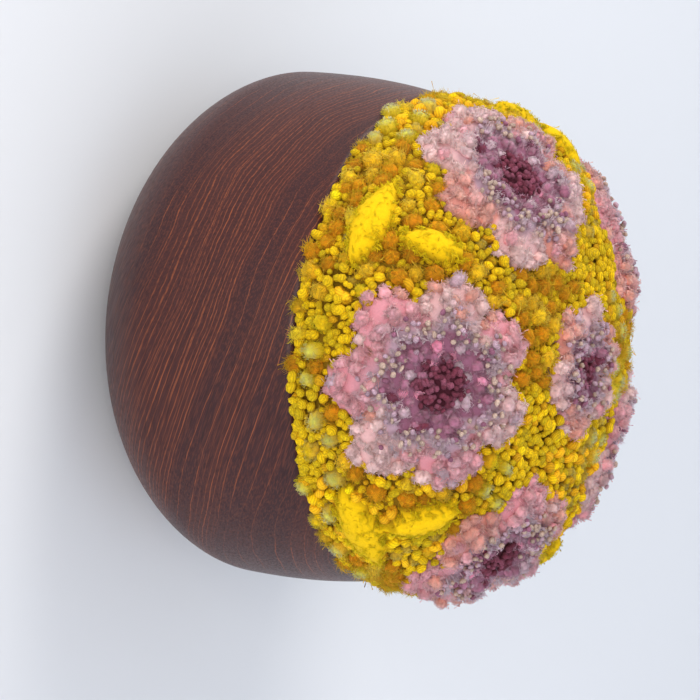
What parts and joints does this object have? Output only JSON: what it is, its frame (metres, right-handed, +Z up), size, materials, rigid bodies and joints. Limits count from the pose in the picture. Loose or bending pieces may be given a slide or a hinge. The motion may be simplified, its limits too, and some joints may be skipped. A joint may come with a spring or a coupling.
{
  "type": "punch needle dome in a turned wooden bowl",
  "caption": "Round wall piece: a dark turned wooden bowl held to a wall by its flat foot, its mouth filled by a crowned dome of punched and knotted yarn in yellow, pink and mauve.",
  "frame": {"origin": "centre of the bowl's flat foot, on the face of the wall", "axes": "+Z up, +Y into the wall along the bowl's axis, so that the yarn dome faces -Y"},
  "size_m": [0.17, 0.1526, 0.17],
  "materials": {
    "turned_wood": "satin oiled dark hardwood with fine lighter grain lines",
    "yarn": "matt wool and cotton yarn, worked as knots, loops and cut pile"
  },
  "bodies": {
    "root": {"bowl": "turned_wood", "embroidered_dome": "yarn"}
  },
  "joints": []
}
